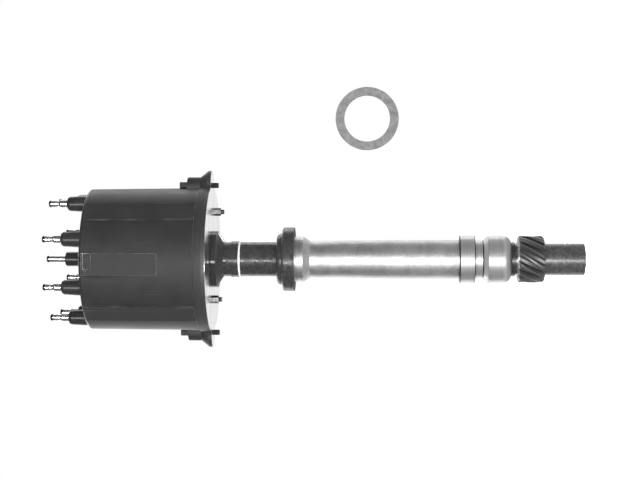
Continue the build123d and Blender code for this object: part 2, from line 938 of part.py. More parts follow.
# The outline of the gear across its axis: each tooth narrows from its root to its tip.
def gear_outline():
    pitch = 360 / gear_teeth
    middle_radius = (gear_root_radius + gear_tip_radius) / 2
    flank = (
        (gear_root_radius, tooth_root_share),
        (middle_radius, tooth_pitch_share),
        (gear_tip_radius, tooth_tip_share),
    )
    points = []
    for tooth in range(gear_teeth):
        rising = [(radius, tooth - share / 2) for radius, share in flank]
        falling = [(radius, tooth + share / 2) for radius, share in reversed(flank)]
        for radius, turn in rising + falling:
            angle = math.radians(turn * pitch)
            points.append((radius * math.cos(angle), radius * math.sin(angle)))
    return make_face(Polyline(*points, close=True))


def make_distributor_gear():
    twist = gear_width * math.tan(math.radians(gear_helix)) / gear_tip_radius
    teeth = Solid.extrude_linear_with_rotation(
        gear_outline().face(), (0, 0, 0), (0, 0, gear_width), math.degrees(twist)
    )
    teeth = Pos(0, 0, teeth_end) * teeth
    slope = 2 * gear_chamfer
    envelope = turned(
        (0, teeth_end),
        (gear_tip_radius - gear_chamfer, teeth_end),
        (gear_tip_radius - gear_chamfer + slope, teeth_end + slope),
        (gear_tip_radius - gear_chamfer + slope, teeth_top - slope),
        (gear_tip_radius - gear_chamfer, teeth_top),
        (0, teeth_top),
    )
    gear = teeth & envelope
    gear += turned(
        (0, gear_end),
        (gear_hub_radius, gear_end, gear_hub_fillet),
        (gear_hub_radius, gear_hub_top),
        (0, gear_hub_top),
    )
    gear -= raised(Circle(shaft_radius), gear_end, gear_hub_top)
    gear -= pin_hole()
    depth = math.sqrt(gear_hub_radius ** 2 - gear_dimple_offset ** 2)
    dimple = Pos(gear_dimple_offset, -depth, gear_end + gear_dimple_rise)
    return gear - dimple * Sphere(gear_dimple_radius)


# A rolled pin with a slit along it.
def make_roll_pin():
    outline = Circle(pin_radius) - Circle(pin_bore_radius)
    outline -= Pos(pin_radius, 0) * Rectangle(2 * pin_radius, pin_slit)
    tube = extrude(outline, amount=gear_hub_radius, both=True)
    return Pos(0, 0, gear_end + pin_rise) * Rot(0, 90, 0) * tube


def make_thrust_washer():
    return ring(thrust_radius, shaft_radius, gear_hub_top, thrust_top)


def make_shim_washers():
    shims = []
    for index in range(shim_count):
        bottom = thrust_top + index * shim_thickness
        shims.append(ring(shim_radius, shaft_radius, bottom, bottom + shim_thickness))
    return Compound(shims)


def make_mounting_gasket():
    x, z = gasket_place
    outline = Circle(gasket_outer_radius) - Circle(gasket_inner_radius)
    flat = extrude(outline, amount=gasket_thickness)
    return Pos(x, plate_radius, z) * Rot(90, 0, 0) * flat


pieces = {
    "housing": make_housing,
    "upper_bushing": make_upper_bushing,
    "lower_bushing": make_lower_bushing,
    "oil_felt": make_oil_felt,
    "felt_cap": make_felt_cap,
    "base_plate": make_base_plate,
    "base_plate_screws": make_base_plate_screws,
    "pickup_plate": make_pickup_plate,
    "pickup_screws": make_pickup_screws,
    "pickup_nuts": make_pickup_nuts,
    "pickup_clip": make_pickup_clip,
    "pickup_magnet": make_pickup_magnet,
    "pickup_coil": make_pickup_coil,
    "pole_piece": make_pole_piece,
    "pickup_leads": make_pickup_leads,
    "ignition_module": make_ignition_module,
    "module_screws": make_module_screws,
    "module_socket": make_module_socket,
    "socket_pins": make_socket_pins,
    "mounting_gasket": make_mounting_gasket,
    "distributor_cap": make_distributor_cap,
    "plug_terminals": make_plug_terminals,
    "coil_terminal": make_coil_terminal,
    "cap_screws": make_cap_screws,
    "brush_spring": make_brush_spring,
    "carbon_button": make_carbon_button,
    "main_shaft": make_main_shaft,
    "timer_core": make_timer_core,
    "rotor_plate": make_rotor_plate,
    "rotor": make_rotor,
    "rotor_blade": make_rotor_blade,
    "rotor_contact": make_rotor_contact,
    "rotor_screws": make_rotor_screws,
    "distributor_gear": make_distributor_gear,
    "roll_pin": make_roll_pin,
    "thrust_washer": make_thrust_washer,
    "shim_washers": make_shim_washers,
}

os.makedirs("parts", exist_ok=True)
for name, make in pieces.items():
    export_step(make(), os.path.join("parts", name + ".step"))
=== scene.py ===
import json
import math
import bmesh
import bpy
from mathutils import Matrix, Vector


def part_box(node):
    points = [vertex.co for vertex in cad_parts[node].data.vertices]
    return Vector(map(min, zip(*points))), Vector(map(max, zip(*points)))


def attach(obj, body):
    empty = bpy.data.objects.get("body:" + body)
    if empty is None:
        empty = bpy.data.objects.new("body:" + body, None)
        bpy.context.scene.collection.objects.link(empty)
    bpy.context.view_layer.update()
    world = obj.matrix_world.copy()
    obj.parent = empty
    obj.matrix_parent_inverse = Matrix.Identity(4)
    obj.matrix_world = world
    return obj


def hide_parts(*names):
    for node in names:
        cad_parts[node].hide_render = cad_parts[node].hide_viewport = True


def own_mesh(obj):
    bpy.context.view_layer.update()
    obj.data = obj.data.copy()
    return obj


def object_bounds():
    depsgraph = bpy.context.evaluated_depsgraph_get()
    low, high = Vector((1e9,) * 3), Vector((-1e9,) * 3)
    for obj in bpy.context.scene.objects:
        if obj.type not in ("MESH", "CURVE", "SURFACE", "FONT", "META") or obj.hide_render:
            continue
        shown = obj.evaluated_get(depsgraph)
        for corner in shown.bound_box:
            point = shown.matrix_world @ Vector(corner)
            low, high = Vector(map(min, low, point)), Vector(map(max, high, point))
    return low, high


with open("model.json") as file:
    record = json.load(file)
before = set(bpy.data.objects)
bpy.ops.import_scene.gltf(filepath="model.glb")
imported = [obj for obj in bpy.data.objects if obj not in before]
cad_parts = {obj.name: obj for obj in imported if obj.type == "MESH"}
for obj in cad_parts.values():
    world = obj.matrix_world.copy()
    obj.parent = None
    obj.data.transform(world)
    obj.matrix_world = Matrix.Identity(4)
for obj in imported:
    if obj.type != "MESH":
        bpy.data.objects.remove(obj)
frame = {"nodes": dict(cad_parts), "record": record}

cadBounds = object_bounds()
nodes = frame["nodes"]
mm = 0.001  # sizes on the object are in millimetres, and the code turns them into metres


# Camera: the distributor lies along the picture, cap to the left and +X up
cameraLook = {
    "aimAlong": -17.7,       # height on the shaft that sits in the middle of the frame
    "aimAside": 13.4,        # how far above the shaft the middle of the frame is
    "distance": 1085,
    "turnRound": 3.5,        # degrees round the shaft
    "fromBelow": 2.6,        # degrees towards the gear
    "fieldOfView": 23.3,
    "nearest": 10,
}


def makeCamera(look):
    turn = math.radians(look["turnRound"])
    dip = math.radians(look["fromBelow"])
    up = Vector((math.cos(turn), math.sin(turn), 0))
    back = Vector((math.sin(turn) * math.cos(dip), -math.cos(turn) * math.cos(dip), -math.sin(dip)))
    right = up.cross(back)
    aim = up * look["aimAside"] * mm + Vector((0, 0, look["aimAlong"] * mm))
    place = Matrix((right, up, back)).transposed().to_4x4()
    place.translation = aim + back * look["distance"] * mm
    data = bpy.data.cameras.new("camera")
    data.sensor_fit = "HORIZONTAL"
    data.angle = math.radians(look["fieldOfView"])
    data.clip_start = look["nearest"] * mm
    camera = bpy.data.objects.new("camera", data)
    camera.matrix_world = place
    bpy.context.scene.collection.objects.link(camera)
    bpy.context.scene.camera = camera
    bpy.context.scene.view_settings.view_transform = "Standard"


makeCamera(cameraLook)
print("camera placed")


# Node tools: the studio and every finish below are built from these few
noiseSpan = (0.3, 0.7)       # nearly all of a noise lies here
toneSpan = (0.35, 0.65)      # where a noise passes from one tone to the other
edgeSpan = (0.8, 0.995)      # how well a rounded face agrees with the flat one, at an edge and beside it
edgeRays = 4


def colourOf(tone):
    # a plain number stands for a grey
    return (*tone, 1) if isinstance(tone, tuple) else (tone, tone, tone, 1)


def feed(tree, socket, value):
    # link a node's output, or set a number or a colour
    if isinstance(value, bpy.types.NodeSocket):
        tree.links.new(value, socket)
    else:
        socket.default_value = colourOf(value) if socket.type == "RGBA" else value


def addMath(tree, operation, first, second=0):
    node = tree.nodes.new("ShaderNodeMath")
    node.operation = operation
    feed(tree, node.inputs[0], first)
    feed(tree, node.inputs[1], second)
    return node.outputs[0]


def product(tree, first, *others):
    for other in others:
        first = addMath(tree, "MULTIPLY", first, other)
    return first


def total(tree, first, *others):
    for other in others:
        first = addMath(tree, "ADD", first, other)
    return first


def without(tree, value, whole=1):
    return addMath(tree, "SUBTRACT", whole, value)


def addRange(tree, value, span, result):
    # turns one span of numbers into another, and holds at its ends
    node = tree.nodes.new("ShaderNodeMapRange")
    tree.links.new(value, node.inputs["Value"])
    for socket, number in zip(("From Min", "From Max", "To Min", "To Max"), (*span, *result)):
        node.inputs[socket].default_value = number
    return node.outputs["Result"]


def above(tree, value, level, soft):
    return addRange(tree, value, ((level - soft) * mm, (level + soft) * mm), (0, 1))


def below(tree, value, level, soft):
    return addRange(tree, value, ((level - soft) * mm, (level + soft) * mm), (1, 0))


def between(tree, value, low, high, soft=0.15):
    # 1 between two levels, falling to 0 over a soft edge
    return product(tree, above(tree, value, low, soft), below(tree, value, high, soft))


def inZones(tree, value, zones):
    inside = between(tree, value, *zones[0])
    for zone in zones[1:]:
        inside = addMath(tree, "MAXIMUM", inside, between(tree, value, *zone))
    return inside


def objectPlace(tree, stretch=(1, 1, 1)):
    place = tree.nodes.new("ShaderNodeTexCoord")
    mapping = tree.nodes.new("ShaderNodeMapping")
    mapping.inputs["Scale"].default_value = stretch
    tree.links.new(place.outputs["Object"], mapping.inputs["Vector"])
    return mapping.outputs["Vector"]


def splitPlace(tree, kind="Object"):
    place = tree.nodes.new("ShaderNodeTexCoord")
    split = tree.nodes.new("ShaderNodeSeparateXYZ")
    tree.links.new(place.outputs[kind], split.inputs["Vector"])
    return split.outputs


def awayFromShaft(tree, outputs):
    squares = [product(tree, outputs[axis], outputs[axis]) for axis in (0, 1)]
    return addMath(tree, "SQRT", total(tree, *squares))


def addNoise(tree, place, scale, detail=6, roughness=0.55):
    noise = tree.nodes.new("ShaderNodeTexNoise")
    noise.inputs["Scale"].default_value = scale
    noise.inputs["Detail"].default_value = detail
    noise.inputs["Roughness"].default_value = roughness
    tree.links.new(place, noise.inputs["Vector"])
    return noise.outputs["Fac"]


def addLines(tree, stretch, detail=3):
    # a noise drawn out into lines, by how often it changes in a metre each way
    return addNoise(tree, objectPlace(tree, stretch), 1, detail)


def addColours(tree, value, *stops):
    ramp = tree.nodes.new("ShaderNodeValToRGB")
    tree.links.new(value, ramp.inputs["Fac"])
    while len(ramp.color_ramp.elements) < len(stops):
        ramp.color_ramp.elements.new(0.5)
    for element, (place, tone) in zip(ramp.color_ramp.elements, stops):
        element.position = place
        element.color = colourOf(tone)
    return ramp.outputs["Color"]


def clouded(tree, value, tones, span=toneSpan):
    return addColours(tree, value, (span[0], tones[0]), (span[1], tones[1]))


def mixColours(tree, share, first, second, blend="MIX"):
    mix = tree.nodes.new("ShaderNodeMix")
    mix.data_type = "RGBA"
    mix.blend_type = blend
    feed(tree, mix.inputs["Factor"], share)
    feed(tree, mix.inputs[6], first)
    feed(tree, mix.inputs[7], second)
    return mix.outputs[2]


def darkened(tree, colour, factor):
    return mixColours(tree, 1, colour, factor, "MULTIPLY")


def edgeWear(tree, radius):
    # 1 along the edges of a solid and 0 on its faces
    bevel = tree.nodes.new("ShaderNodeBevel")
    bevel.samples = edgeRays
    bevel.inputs["Radius"].default_value = radius * mm
    face = tree.nodes.new("ShaderNodeNewGeometry")
    dot = tree.nodes.new("ShaderNodeVectorMath")
    dot.operation = "DOT_PRODUCT"
    tree.links.new(bevel.outputs["Normal"], dot.inputs[0])
    tree.links.new(face.outputs["Normal"], dot.inputs[1])
    return addRange(tree, dot.outputs["Value"], edgeSpan, (1, 0))


def addBump(tree, shader, height, distance):
    bump = tree.nodes.new("ShaderNodeBump")
    bump.inputs["Strength"].default_value = 1
    bump.inputs["Distance"].default_value = distance * mm
    tree.links.new(height, bump.inputs["Height"])
    tree.links.new(bump.outputs["Normal"], shader.inputs["Normal"])


def startMaterial(name, metallic=0, roughness=0.5, specular=0.5):
    # these plain values also serve a reader that doesn't follow the nodes linked later
    material = bpy.data.materials.new(name)
    material.use_nodes = True
    tree = material.node_tree
    shader = tree.nodes["Principled BSDF"]
    shader.inputs["Metallic"].default_value = metallic
    shader.inputs["Roughness"].default_value = roughness
    shader.inputs["Specular IOR Level"].default_value = specular
    return material, tree, shader


def seenDirectly(tree):
    # 1 for rays that look at the studio itself, 0 for the light it sheds
    rays = tree.nodes.new("ShaderNodeLightPath").outputs
    return total(tree, rays["Is Camera Ray"], rays["Is Glossy Ray"], rays["Is Transmission Ray"])


# Light, in metres: a strip beside the camera, soft lamps round the object,
# and dark cards that only the gloss sees
studio = {
    "worldLevel": 0.3,
    "floor": {"drop": 0.095, "size": (6, 6), "grey": 0.8, "glow": 0.8, "rough": 0.9},
    "lamps": {
        "strip": {"at": (-0.17, -1.3, 0.1), "size": (0.17, 1.2), "power": 26},
        "above": {"at": (1.0, 0.85, 0.1), "size": (0.9, 1.4), "power": 11.5},
        "below": {"at": (-1.0, 0.85, 0.1), "size": (0.9, 1.4), "power": 9.2},
        "behind": {"at": (-0.3, 1.1, 1.1), "size": (1.2, 1.2), "power": 12},
    },
    "cards": {
        "frontCard": {"at": (0, -1.7, 0), "faces": (0, 1, 0), "size": (3.4, 3.4), "grey": 0.02},
        "upperCard": {"at": (1.15, 0.1, 0), "faces": (-1, 0, 0), "size": (3.4, 3.4), "grey": 0.02},
        "lowerCard": {"at": (-1.15, 0.1, 0), "faces": (1, 0, 0), "size": (3.4, 3.4), "grey": 0.02},
        "capEndCard": {"at": (0, -0.2, 1.3), "faces": (0, 0, -1), "size": (2.3, 2.6), "grey": 0.05},
        "gearEndCard": {"at": (0, 0, -0.29), "faces": (0, 0, 1), "size": (1, 1), "grey": 0.6},
    },
}


def makeWorld(level):
    world = bpy.data.worlds.new("studio")
    bpy.context.scene.world = world
    world.use_nodes = True
    tree = world.node_tree
    background = tree.nodes["Background"]
    background.inputs["Color"].default_value = (1, 1, 1, 1)
    strength = addRange(tree, seenDirectly(tree), (0, 1), (level, 1))
    tree.links.new(strength, background.inputs["Strength"])


def makeLamps(lamps):
    for name, lamp in lamps.items():
        data = bpy.data.lights.new(name, "AREA")
        data.shape = "RECTANGLE"
        data.size, data.size_y = lamp["size"]
        data.energy = lamp["power"]
        holder = bpy.data.objects.new(name, data)
        holder.location = lamp["at"]
        holder.rotation_euler = (-Vector(lamp["at"])).to_track_quat("-Z", "Y").to_euler()
        bpy.context.scene.collection.objects.link(holder)


def makePanel(name, size, place, material):
    across, high = (side / 2 for side in size)
    mesh = bpy.data.meshes.new(name)
    corners = [(-across, -high, 0), (across, -high, 0), (across, high, 0), (-across, high, 0)]
    mesh.from_pydata(corners, [], [(0, 1, 2, 3)])
    mesh.materials.append(material)
    panel = bpy.data.objects.new(name, mesh)
    panel.location = place
    bpy.context.scene.collection.objects.link(panel)
    return panel


# Cards round the object give metal and plastic their dark edges
def makeCards(cards):
    for name, spot in cards.items():
        material, tree, shader = startMaterial(name, roughness=1)
        feed(tree, shader.inputs["Base Color"], spot["grey"])
        card = makePanel(name, spot["size"], spot["at"], material)
        card.rotation_euler = Vector(spot["faces"]).to_track_quat("Z", "Y").to_euler()
        card.visible_camera = False
        card.visible_diffuse = False
        card.visible_shadow = False


def makeFloor(look):
    material, tree, shader = startMaterial("floorPaper", roughness=look["rough"])
    feed(tree, shader.inputs["Base Color"], look["grey"])
    feed(tree, shader.inputs["Emission Color"], 1)
    glow = product(tree, seenDirectly(tree), look["glow"])
    feed(tree, shader.inputs["Emission Strength"], glow)
    makePanel("floor", look["size"], (0, 0, cadBounds[0][2] - look["drop"]), material)


makeWorld(studio["worldLevel"])
makeLamps(studio["lamps"])
makeCards(studio["cards"])
makeFloor(studio["floor"])
print("lights, world and floor made")


# Housing: black paint over a light casting, turned bright where it fits the engine
castingLook = {
    "machined": (0.35, 0.47),
    "machinedZones": ((-220, -114.9), (-6.3, -0.25), (37.6, 38.9)),
    "rings": (30, 30, 2600),
    "cast": (0.37, 0.48),
    "castTones": (0.35, 0.62),
    "cloud": 120,
    "grain": (1500, 8, 0.65),
    "pits": ((0.3, 0.5), (0.5, 1)),      # low spots of the cast skin, and how dark they are
    # painted shade along the turned corners beside the lands, a bright line round the neck, and the rough
    # slope below the groove
    "corners": {"at": (-130.9, -125.3, -114.9), "reach": (0.3, 0.5), "grey": 0.04},
    "band": {"at": (37.6, 38.9), "grey": 0.8, "dull": 0.85},
    "slope": {"at": (-134.2, -131.4), "grey": 0.55, "dull": 0.3},
    "paint": (0.034, 0.044),
    "paintTones": (0.4, 0.6),
    "paintZones": ((-0.25, 37.6), (38.9, 80)),
    "paintEdge": {"noise": 400, "stray": 0.1},
    # the outer edges of the ribs are left bare
    "ribs": {"height": (44, 53.3), "out": (12.2, 40), "soft": 0.4, "half": 2.3, "halfSoft": 0.2},
    "worn": {"grey": 0.13, "width": 0.35, "span": (0.35, 0.6), "share": (0.2, 0.9)},
    "metallic": 0.9,
    "metalRough": (0.36, 0.5),
    # the paint shines in patches and on the head's rim, and is dull on faces that look down the shaft
    "paintRough": {"noise": 330, "span": (0.5, 0.6), "rough": (0.34, 0.07)},
    "headShine": {"at": (52, 60), "share": 0.3},
    "dullBelow": {"span": (-0.8, -0.3), "more": 0.5},
    "throughPaint": 0.1,                 # share of the cast grain that still shows under the paint
    "peel": {"noise": (500, 2), "share": 0.25},
    "ringRelief": 0.06,
    "relief": 0.15,
}


def paintedPart(tree, look, outputs, place):
    # 1 where the casting is painted and 0 where it is bare
    stray = look["paintEdge"]["stray"] * mm
    edge = addRange(tree, addNoise(tree, place, look["paintEdge"]["noise"]), noiseSpan, (-stray, stray))
    ragged = total(tree, outputs[2], edge)
    ribs = look["ribs"]
    rib = product(tree, between(tree, ragged, *ribs["height"], ribs["soft"]),
                  below(tree, addMath(tree, "ABSOLUTE", outputs[1]), ribs["half"], ribs["halfSoft"]),
                  between(tree, awayFromShaft(tree, outputs), *ribs["out"], ribs["soft"]))
    return product(tree, inZones(tree, ragged, look["paintZones"]), without(tree, rib))


def bareMetal(tree, look, height, machined, cloud, grain, rings):
    pitted = darkened(tree, clouded(tree, cloud, look["cast"], look["castTones"]),
                      addRange(tree, grain, *look["pits"]))
    metal = mixColours(tree, machined, pitted, clouded(tree, rings, look["machined"]))
    # painted shade: a dark line along each turned corner beside the lands
    corners = look["corners"]
    for level in corners["at"]:
        distance = addMath(tree, "ABSOLUTE", addMath(tree, "SUBTRACT", height, level * mm))
        inCornerShade = addRange(tree, distance, [reach * mm for reach in corners["reach"]], (1, 0))
        metal = mixColours(tree, inCornerShade, metal, corners["grey"])
    dull = 0
    for part in (look["band"], look["slope"]):
        inside = between(tree, height, *part["at"])
        metal = mixColours(tree, inside, metal, part["grey"])
        dull = total(tree, product(tree, inside, part["dull"]), dull)
    return metal, dull


def castingGloss(tree, look, height, place, grain):
    # roughness of the bare metal and of the paint
    paint, shine, dull = look["paintRough"], look["headShine"], look["dullBelow"]
    patches = addRange(tree, addNoise(tree, place, paint["noise"]), paint["span"], paint["rough"])
    head = addRange(tree, between(tree, height, *shine["at"]), (0, 1), (1, shine["share"]))
    facingDown = addRange(tree, splitPlace(tree, "Normal")[2], dull["span"], (dull["more"], 0))
    metal = addRange(tree, grain, noiseSpan, look["metalRough"])
    return metal, total(tree, product(tree, patches, head), facingDown)


def castingFinish(look):
    material, tree, shader = startMaterial("paintedCasting", roughness=0.45, specular=0.25)
    place = objectPlace(tree)
    outputs = splitPlace(tree)
    height = outputs[2]
    cloud = addNoise(tree, place, look["cloud"])
    grain = addNoise(tree, place, *look["grain"])
    rings = addLines(tree, look["rings"])
    machined = inZones(tree, height, look["machinedZones"])
    paint = paintedPart(tree, look, outputs, place)
    bare = without(tree, paint)
    metal, dull = bareMetal(tree, look, height, machined, cloud, grain, rings)
    worn = look["worn"]
    chips = product(tree, edgeWear(tree, worn["width"]), addRange(tree, cloud, worn["span"], worn["share"]))
    black = clouded(tree, cloud, look["paint"], look["paintTones"])
    black = mixColours(tree, chips, black, worn["grey"])
    feed(tree, shader.inputs["Base Color"], mixColours(tree, paint, metal, black))
    feed(tree, shader.inputs["Metallic"], product(tree, bare, without(tree, dull, look["metallic"])))
    metalRough, paintRough = castingGloss(tree, look, height, place, grain)
    rough = total(tree, product(tree, metalRough, bare), product(tree, paintRough, paint))
    feed(tree, shader.inputs["Roughness"], rough)
    skin = product(tree, grain, without(tree, machined), without(tree, paint, 1 + look["throughPaint"]))
    peel = product(tree, addNoise(tree, place, *look["peel"]["noise"]), paint, look["peel"]["share"])
    marks = product(tree, rings, look["ringRelief"])
    addBump(tree, shader, total(tree, skin, peel, marks), look["relief"])
    return material


# Cap: old black plastic, with light rubbed edges that are partly painted highlight, a painted highlight on
# the tab, a pad painted darker as painted shade, and a dusty bloom
capLook = {
    "body": (0.0225, 0.0285),
    "cloud": 60,
    "fine": 1600,
    # the short pad in front is painted a shade darker, as painted shade against the light its flat face
    # catches
    "pad": {"height": (90.3, 143), "across": (-7.2, 7.2), "face": (-48.75, 0.25), "body": (0.018, 0.023)},
    # flow marks, and dust low on the rim
    "streaks": {"lines": (260, 260, 9), "span": (0.66, 0.72), "most": 0.6, "grey": 0.075},
    "dust": {"height": (40, 63.5), "soft": 2.5, "span": (0.4, 0.7), "most": 0.7, "grey": 0.06},
    # wear on every edge; light rubbed wear on the edges of the side pads, which is also a painted highlight;
    # and a painted highlight along the tab's edges
    "worn": {"width": 0.4, "noise": 110, "span": (0.4, 0.6), "share": (0.15, 1), "grey": 0.12},
    "rubbedAndHighlit": {"height": (66, 141), "soft": 1, "lines": (150, 150, 70), "span": (0.46, 0.62), "grey": 0.26},
    "tab": {"height": (133.5, 141), "across": (-4.4, 8.4), "face": (-30.5, 0.5), "grey": 0.8,
            "fade": (135.5, 139.5), "least": 0.05},
    "rough": (0.5, 0.62),
    "smooth": {"above": 141.5, "soft": 0.5, "rough": (0.2, 0.32)},    # the deck and the towers
    "bloom": {"weight": 0.3, "rough": 0.3},    # seen where the plastic turns away
    "flowRelief": 1.5,
    "relief": 0.02,
}


def frontZone(tree, outputs, zone):
    # 1 on the front of the cap, between two heights and two sides
    height = between(tree, outputs[2], *zone["height"])
    across = between(tree, outputs[0], *zone["across"])
    return product(tree, height, across, below(tree, outputs[1], *zone["face"]))


def capSkin(tree, look, outputs, cloud, fine, flow):
    # the plastic itself, with flow marks and dust, and the pad in front painted darker as painted shade
    colour = clouded(tree, cloud, look["body"])
    pad = look["pad"]
    colour = mixColours(tree, frontZone(tree, outputs, pad), colour, clouded(tree, cloud, pad["body"]))
    streaks = look["streaks"]
    marks = addRange(tree, flow, streaks["span"], (0, streaks["most"]))
    colour = mixColours(tree, marks, colour, streaks["grey"])
    dust = look["dust"]
    low = between(tree, outputs[2], *dust["height"], dust["soft"])
    settled = product(tree, low, addRange(tree, fine, dust["span"], (0, dust["most"])))
    return mixColours(tree, settled, colour, dust["grey"])


def capEdges(tree, look, outputs, place, colour):
    worn = look["worn"]
    edges = edgeWear(tree, worn["width"])
    patchy = addRange(tree, addNoise(tree, place, worn["noise"]), worn["span"], worn["share"])
    colour = mixColours(tree, product(tree, edges, patchy), colour, worn["grey"])
    # light rubbed wear along the side pads' edges, also a painted highlight
    rubbedAndHighlit = look["rubbedAndHighlit"]
    pads = between(tree, outputs[2], *rubbedAndHighlit["height"], rubbedAndHighlit["soft"])
    rubs = addRange(tree, addLines(tree, rubbedAndHighlit["lines"]), rubbedAndHighlit["span"], (0, 1))
    colour = mixColours(tree, product(tree, edges, pads, rubs), colour, rubbedAndHighlit["grey"])
    # painted highlight along the tab's edges, stronger towards the top
    tab = look["tab"]
    fade = addRange(tree, outputs[2], [level * mm for level in tab["fade"]], (tab["least"], 1))
    glintOnTab = product(tree, frontZone(tree, outputs, tab), fade, edges)
    return mixColours(tree, glintOnTab, colour, tab["grey"])


def capFinish(look):
    material, tree, shader = startMaterial("capPlastic", roughness=0.55, specular=0.2)
    shader.inputs["Sheen Weight"].default_value = look["bloom"]["weight"]
    shader.inputs["Sheen Roughness"].default_value = look["bloom"]["rough"]
    place = objectPlace(tree)
    outputs = splitPlace(tree)
    cloud = addNoise(tree, place, look["cloud"])
    fine = addNoise(tree, place, look["fine"])
    flow = addLines(tree, look["streaks"]["lines"])
    colour = capSkin(tree, look, outputs, cloud, fine, flow)
    feed(tree, shader.inputs["Base Color"], capEdges(tree, look, outputs, place, colour))
    smooth = look["smooth"]
    deck = above(tree, outputs[2], smooth["above"], smooth["soft"])
    side = product(tree, addRange(tree, cloud, noiseSpan, look["rough"]), without(tree, deck))
    top = product(tree, addRange(tree, cloud, noiseSpan, smooth["rough"]), deck)
    feed(tree, shader.inputs["Roughness"], total(tree, side, top))
    addBump(tree, shader, total(tree, fine, product(tree, flow, look["flowRelief"])), look["relief"])
    return material


# Base plate: brushed zinc with a black rim
plateLook = {
    "zinc": (0.25, 0.62),
    "zincTones": (0.3, 0.6),
    "brushed": (25, 700, 700),
    "spots": {"noise": 260, "dark": ((0.32, 0.42), (0.7, 1))},
    "metallic": 0.9,
    "rough": (0.12, 0.24),
    "rim": {"radius": 50.3, "soft": 0.05, "height": (57.6, 60.1), "heightSoft": 0.1,
            "grey": 0.03, "metallic": 0.1, "rougher": 0.35},
    "relief": 0.006,
}


def plateFinish(look):
    material, tree, shader = startMaterial("zincPlate", metallic=look["metallic"], roughness=0.2)
    outputs = splitPlace(tree)
    brush = addLines(tree, look["brushed"], 4)
    spots = addNoise(tree, objectPlace(tree), look["spots"]["noise"])
    colour = darkened(tree, clouded(tree, brush, look["zinc"], look["zincTones"]),
                      addRange(tree, spots, *look["spots"]["dark"]))
    rim = look["rim"]
    atRim = product(tree, above(tree, awayFromShaft(tree, outputs), rim["radius"], rim["soft"]),
                    between(tree, outputs[2], *rim["height"], rim["heightSoft"]))
    feed(tree, shader.inputs["Base Color"], mixColours(tree, atRim, colour, rim["grey"]))
    feed(tree, shader.inputs["Metallic"], addRange(tree, atRim, (0, 1), (look["metallic"], rim["metallic"])))
    smear = addRange(tree, spots, noiseSpan, look["rough"])
    feed(tree, shader.inputs["Roughness"], total(tree, smear, product(tree, atRim, rim["rougher"])))
    addBump(tree, shader, brush, look["relief"])
    return material


# Terminals: turned bright metal, with painted shade at the tips
terminalLook = {
    "metal": (0.6, 0.75),
    "rings": (1, 1, 3500),
    "stain": {"noise": 250, "dark": ((0.35, 0.5), (0.9, 1))},
    "rough": (0.2, 0.23),
    "tipShade": {"length": 1.8, "soft": 0.3, "grey": 0.04},
    "plugsFrom": (9.5, 0.5),      # the plugs' terminals lie farther from the shaft than this
    "relief": 0.0005,
}


def terminalFinish(look):
    material, tree, shader = startMaterial("turnedTerminal", metallic=0.9, roughness=0.25)
    rings = addLines(tree, look["rings"])
    stain = addNoise(tree, objectPlace(tree), look["stain"]["noise"])
    stained = addRange(tree, stain, *look["stain"]["dark"])
    colour = darkened(tree, clouded(tree, rings, look["metal"]), stained)
    outputs = splitPlace(tree)
    outer = above(tree, awayFromShaft(tree, outputs), *look["plugsFrom"])
    # painted shade at the tips of the plug and coil terminals
    tipShade = look["tipShade"]
    for name, share in (("plug_terminals", outer), ("coil_terminal", without(tree, outer))):
        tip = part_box(name)[1][2] / mm
        atTip = above(tree, outputs[2], tip - tipShade["length"], tipShade["soft"])
        colour = mixColours(tree, product(tree, share, atTip), colour, tipShade["grey"])
    feed(tree, shader.inputs["Base Color"], colour)
    feed(tree, shader.inputs["Roughness"], addRange(tree, stain, noiseSpan, look["rough"]))
    addBump(tree, shader, rings, look["relief"])
    return material


# Gear: dark iron, worn bright at the edges of the teeth, with painted shade at their roots, lighter up the
# flanks, and a painted highlight on the top face
gearLook = {
    "radii": (12.6, 15.9),       # root and tip of the teeth, with the greys from one to the other: darker at the root as painted shade, lighter up the flanks
    "tooth": ((0, 0.09), (0.5, 0.11), (0.9, 0.11), (1, 0.1)),
    "teeth": (-173.2, -154.9),
    "hub": (0.046, 0.115),
    "hubTones": (0.35, 0.62),
    "mottle": (420, 8, 0.7),
    "topFaceHighlight": {"height": (-155.8, -154.5), "soft": 0.1, "grey": 0.4},
    "worn": {"width": 0.3, "span": (0.4, 0.6), "share": (0.2, 0.8), "grey": 0.3},
    "rough": (0.2, 0.36),
    "teethRougher": 0.12,
    "relief": 0.05,
}


def gearFinish(look):
    material, tree, shader = startMaterial("gearIron", metallic=0.65, roughness=0.35)
    outputs = splitPlace(tree)
    depth = addRange(tree, awayFromShaft(tree, outputs), [radius * mm for radius in look["radii"]], (0, 1))
    tooth = addColours(tree, depth, *look["tooth"])
    mottle = addNoise(tree, objectPlace(tree), *look["mottle"])
    inTeeth = between(tree, outputs[2], *look["teeth"])
    colour = mixColours(tree, inTeeth, clouded(tree, mottle, look["hub"], look["hubTones"]), tooth)
    # painted highlight on the top face of the teeth
    face = look["topFaceHighlight"]
    onHighlitFace = between(tree, outputs[2], *face["height"], face["soft"])
    colour = mixColours(tree, onHighlitFace, colour, face["grey"])
    worn = look["worn"]
    rubs = product(tree, edgeWear(tree, worn["width"]), addRange(tree, mottle, worn["span"], worn["share"]))
    feed(tree, shader.inputs["Base Color"], mixColours(tree, rubs, colour, worn["grey"]))
    gloss = addRange(tree, mottle, noiseSpan, look["rough"])
    feed(tree, shader.inputs["Roughness"], total(tree, gloss, product(tree, inTeeth, look["teethRougher"])))
    addBump(tree, shader, mottle, look["relief"])
    return material


# Gasket: pressed paper with fibres both ways and dark specks
gasketLook = {
    "paper": (0.16, 0.25),
    "cloud": 240,
    "fibres": {"lines": ((2600, 400, 300), (350, 400, 2600)), "span": (0.62, 0.7), "most": 0.7, "grey": 0.32},
    "specks": {"noise": 1100, "span": (0.62, 0.66), "most": 0.6, "grey": 0.11},
    "relief": 0.06,
}


